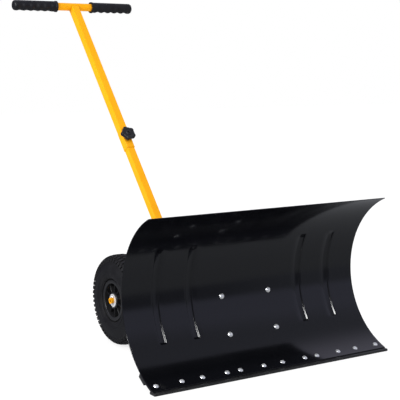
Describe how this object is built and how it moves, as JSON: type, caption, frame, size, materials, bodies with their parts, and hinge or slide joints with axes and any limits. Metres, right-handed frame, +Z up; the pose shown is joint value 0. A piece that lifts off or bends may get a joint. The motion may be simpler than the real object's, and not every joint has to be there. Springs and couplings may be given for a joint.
{
  "type": "wheeled snow shovel",
  "caption": "Two-wheeled snow pusher: curved steel blade with bolted scraper strips on a swinging bracket, knobby tyres, and a telescopic pole with a T-handle.",
  "frame": {"origin": "middle of the scraper's flat underside, on the ground, under the lower edge of the blade", "axes": "-Y forward, the way the snow is pushed; +Y back to the user; +Z up; +X to the right as seen from in front of the blade"},
  "size_m": [0.74, 1.1806, 0.9914],
  "materials": {
    "blade_paint": "gloss black powder coat",
    "scraper_polymer": "satin black polyurethane",
    "yellow_paint": "semi-gloss yellow powder coat",
    "zinc_steel": "bright zinc plate",
    "black_steel": "black oxide",
    "black_plastic": "moulded black plastic",
    "brass": "turned",
    "tyre_rubber": "moulded rubber",
    "tube_rubber": "smooth butyl",
    "grip_rubber": "satin moulded rubber"
  },
  "bodies": {
    "chassis": {"drawbar": "yellow_paint", "drawbar_cap": "black_plastic", "axle": "yellow_paint", "axle_spacers": "yellow_paint", "axle_gussets": "yellow_paint", "axle_washers": "zinc_steel", "split_pins": "zinc_steel", "pivot_bolt": "zinc_steel", "pivot_nut": "zinc_steel", "pivot_washers": "zinc_steel", "clamp_stud": "zinc_steel", "clamp_washer": "zinc_steel", "pole_brackets": "yellow_paint", "lower_pole": "yellow_paint", "pole_plug": "black_plastic", "pole_bolts": "zinc_steel", "pole_nuts": "zinc_steel"},
    "blade_unit": {"blade": "blade_paint", "scraper_left": "scraper_polymer", "scraper_middle": "scraper_polymer", "scraper_right": "scraper_polymer", "scraper_bolts": "zinc_steel", "scraper_nuts": "zinc_steel", "bracket_saddle": "yellow_paint", "swing_quadrant": "yellow_paint", "bracket_lower_ear": "yellow_paint", "bracket_webs": "yellow_paint", "bracket_bolts": "zinc_steel", "bracket_nuts": "zinc_steel"},
    "handle": {"upper_pole": "yellow_paint", "pole_collar": "yellow_paint", "collar_nut": "yellow_paint", "crossbar": "yellow_paint", "left_grip": "grip_rubber", "right_grip": "grip_rubber"},
    "pole_screw": {"pole_knob_stud": "zinc_steel"},
    "pole_star": {"pole_knob": "black_plastic"},
    "clamp_screw": {"clamp_insert": "brass"},
    "clamp_star": {"clamp_knob": "black_plastic"},
    "left_wheel": {"left_tyre": "tyre_rubber", "left_inner_tube": "tube_rubber", "left_rim_outer": "black_plastic", "left_rim_inner": "black_plastic", "left_rim_bolts": "black_steel", "left_rim_nuts": "black_steel", "left_bearings": "zinc_steel"},
    "right_wheel": {"right_tyre": "tyre_rubber", "right_inner_tube": "tube_rubber", "right_rim_outer": "black_plastic", "right_rim_inner": "black_plastic", "right_rim_bolts": "black_steel", "right_rim_nuts": "black_steel", "right_bearings": "zinc_steel"}
  },
  "joints": [
    {"name": "blade_swing", "type": "hinge", "parent": "chassis", "child": "blade_unit", "pos_m": [0, 0.205, 0.127], "axis": [0, 0, 1], "range_deg": [-30, 30]},
    {"name": "handle_extend", "type": "slide", "parent": "chassis", "child": "handle", "axis": [0, 0.6428, 0.766], "range_m": [0, 0.3]},
    {"name": "pole_screw_travel", "type": "slide", "parent": "handle", "child": "pole_screw", "axis": [0, -0.766, 0.6428], "range_m": [0, 0.0025]},
    {"name": "pole_knob_turn", "type": "hinge", "parent": "pole_screw", "child": "pole_star", "pos_m": [0, 0.79653, 0.5516], "axis": [0, -0.766, 0.6428], "range_deg": [0, 720]},
    {"name": "clamp_screw_travel", "type": "slide", "parent": "chassis", "child": "clamp_screw", "axis": [0, 0, 1], "range_m": [0, 0.003]},
    {"name": "clamp_knob_turn", "type": "hinge", "parent": "clamp_screw", "child": "clamp_star", "pos_m": [0, 0.28, 0.16], "axis": [0, 0, 1], "range_deg": [0, 720]},
    {"name": "left_wheel_spin", "type": "hinge", "parent": "chassis", "child": "left_wheel", "pos_m": [-0.201, 0.452, 0.127], "axis": [1, 0, 0], "continuous": true},
    {"name": "right_wheel_spin", "type": "hinge", "parent": "chassis", "child": "right_wheel", "pos_m": [0.201, 0.452, 0.127], "axis": [1, 0, 0], "continuous": true}
  ],
  "couplings": [
    {"joint": "pole_knob_turn", "follows": "pole_screw_travel", "rad_per_m": 5026.5},
    {"joint": "clamp_knob_turn", "follows": "clamp_screw_travel", "rad_per_m": 4188.8}
  ]
}
